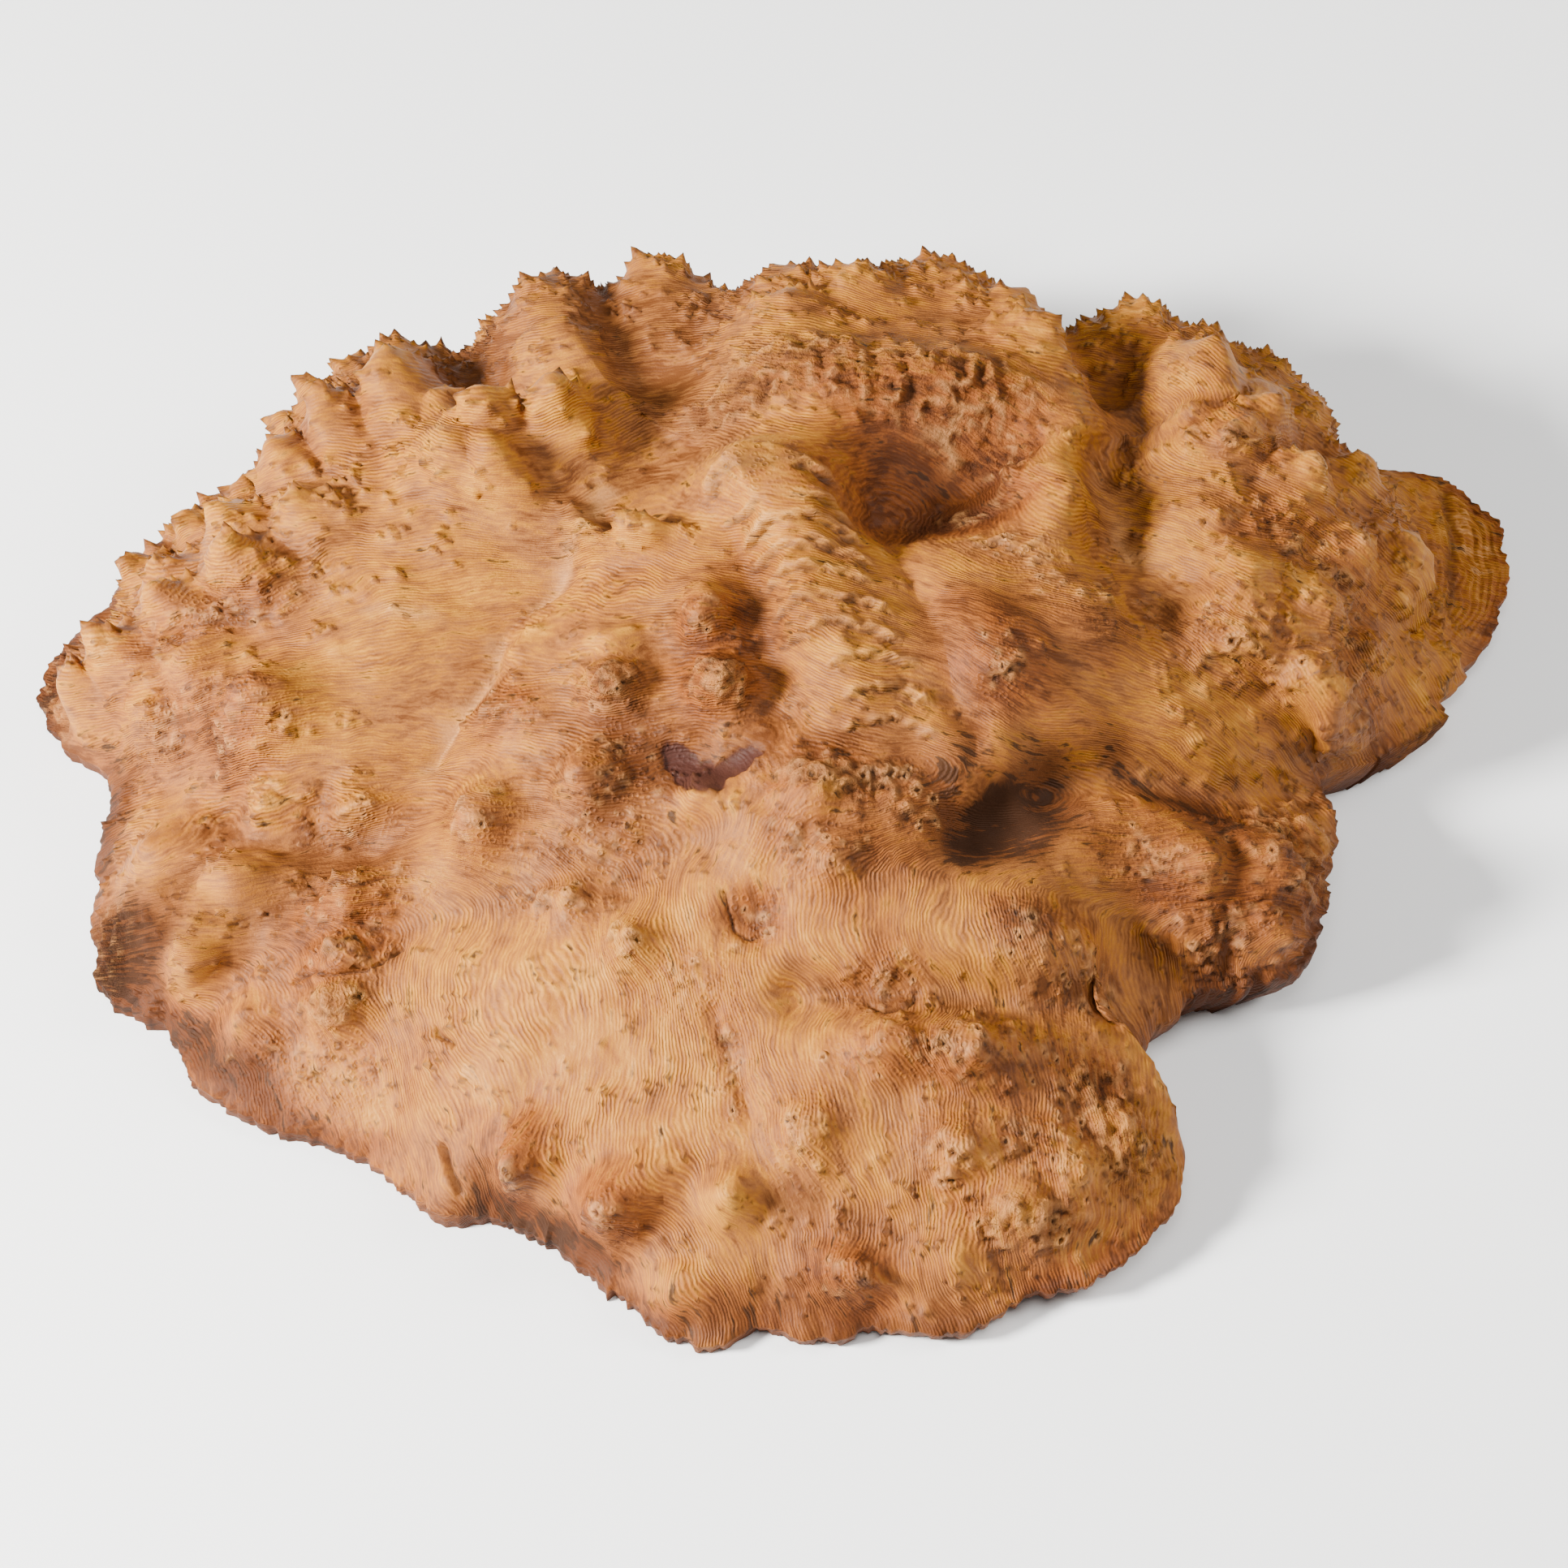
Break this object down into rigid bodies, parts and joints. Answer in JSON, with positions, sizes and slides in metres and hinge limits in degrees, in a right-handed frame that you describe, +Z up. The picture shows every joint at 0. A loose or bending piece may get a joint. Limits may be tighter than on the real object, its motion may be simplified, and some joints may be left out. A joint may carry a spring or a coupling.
{
  "type": "burl wood cap",
  "caption": "Natural cap of burl wood with a thorny, lobed skin, a ragged rim and a flat sawn underside it lies on.",
  "frame": {"origin": "on the flat sawn face, near the middle of the cap", "axes": "+X along the longest spread, +Y across it toward the steep back wall, +Z up from the sawn face to the crown"},
  "size_m": [0.445, 0.3725, 0.1005],
  "materials": {
    "burl_wood": "sanded bare wood, fine wavy grain"
  },
  "bodies": {
    "root": {"burl_cap": "burl_wood"}
  },
  "joints": []
}
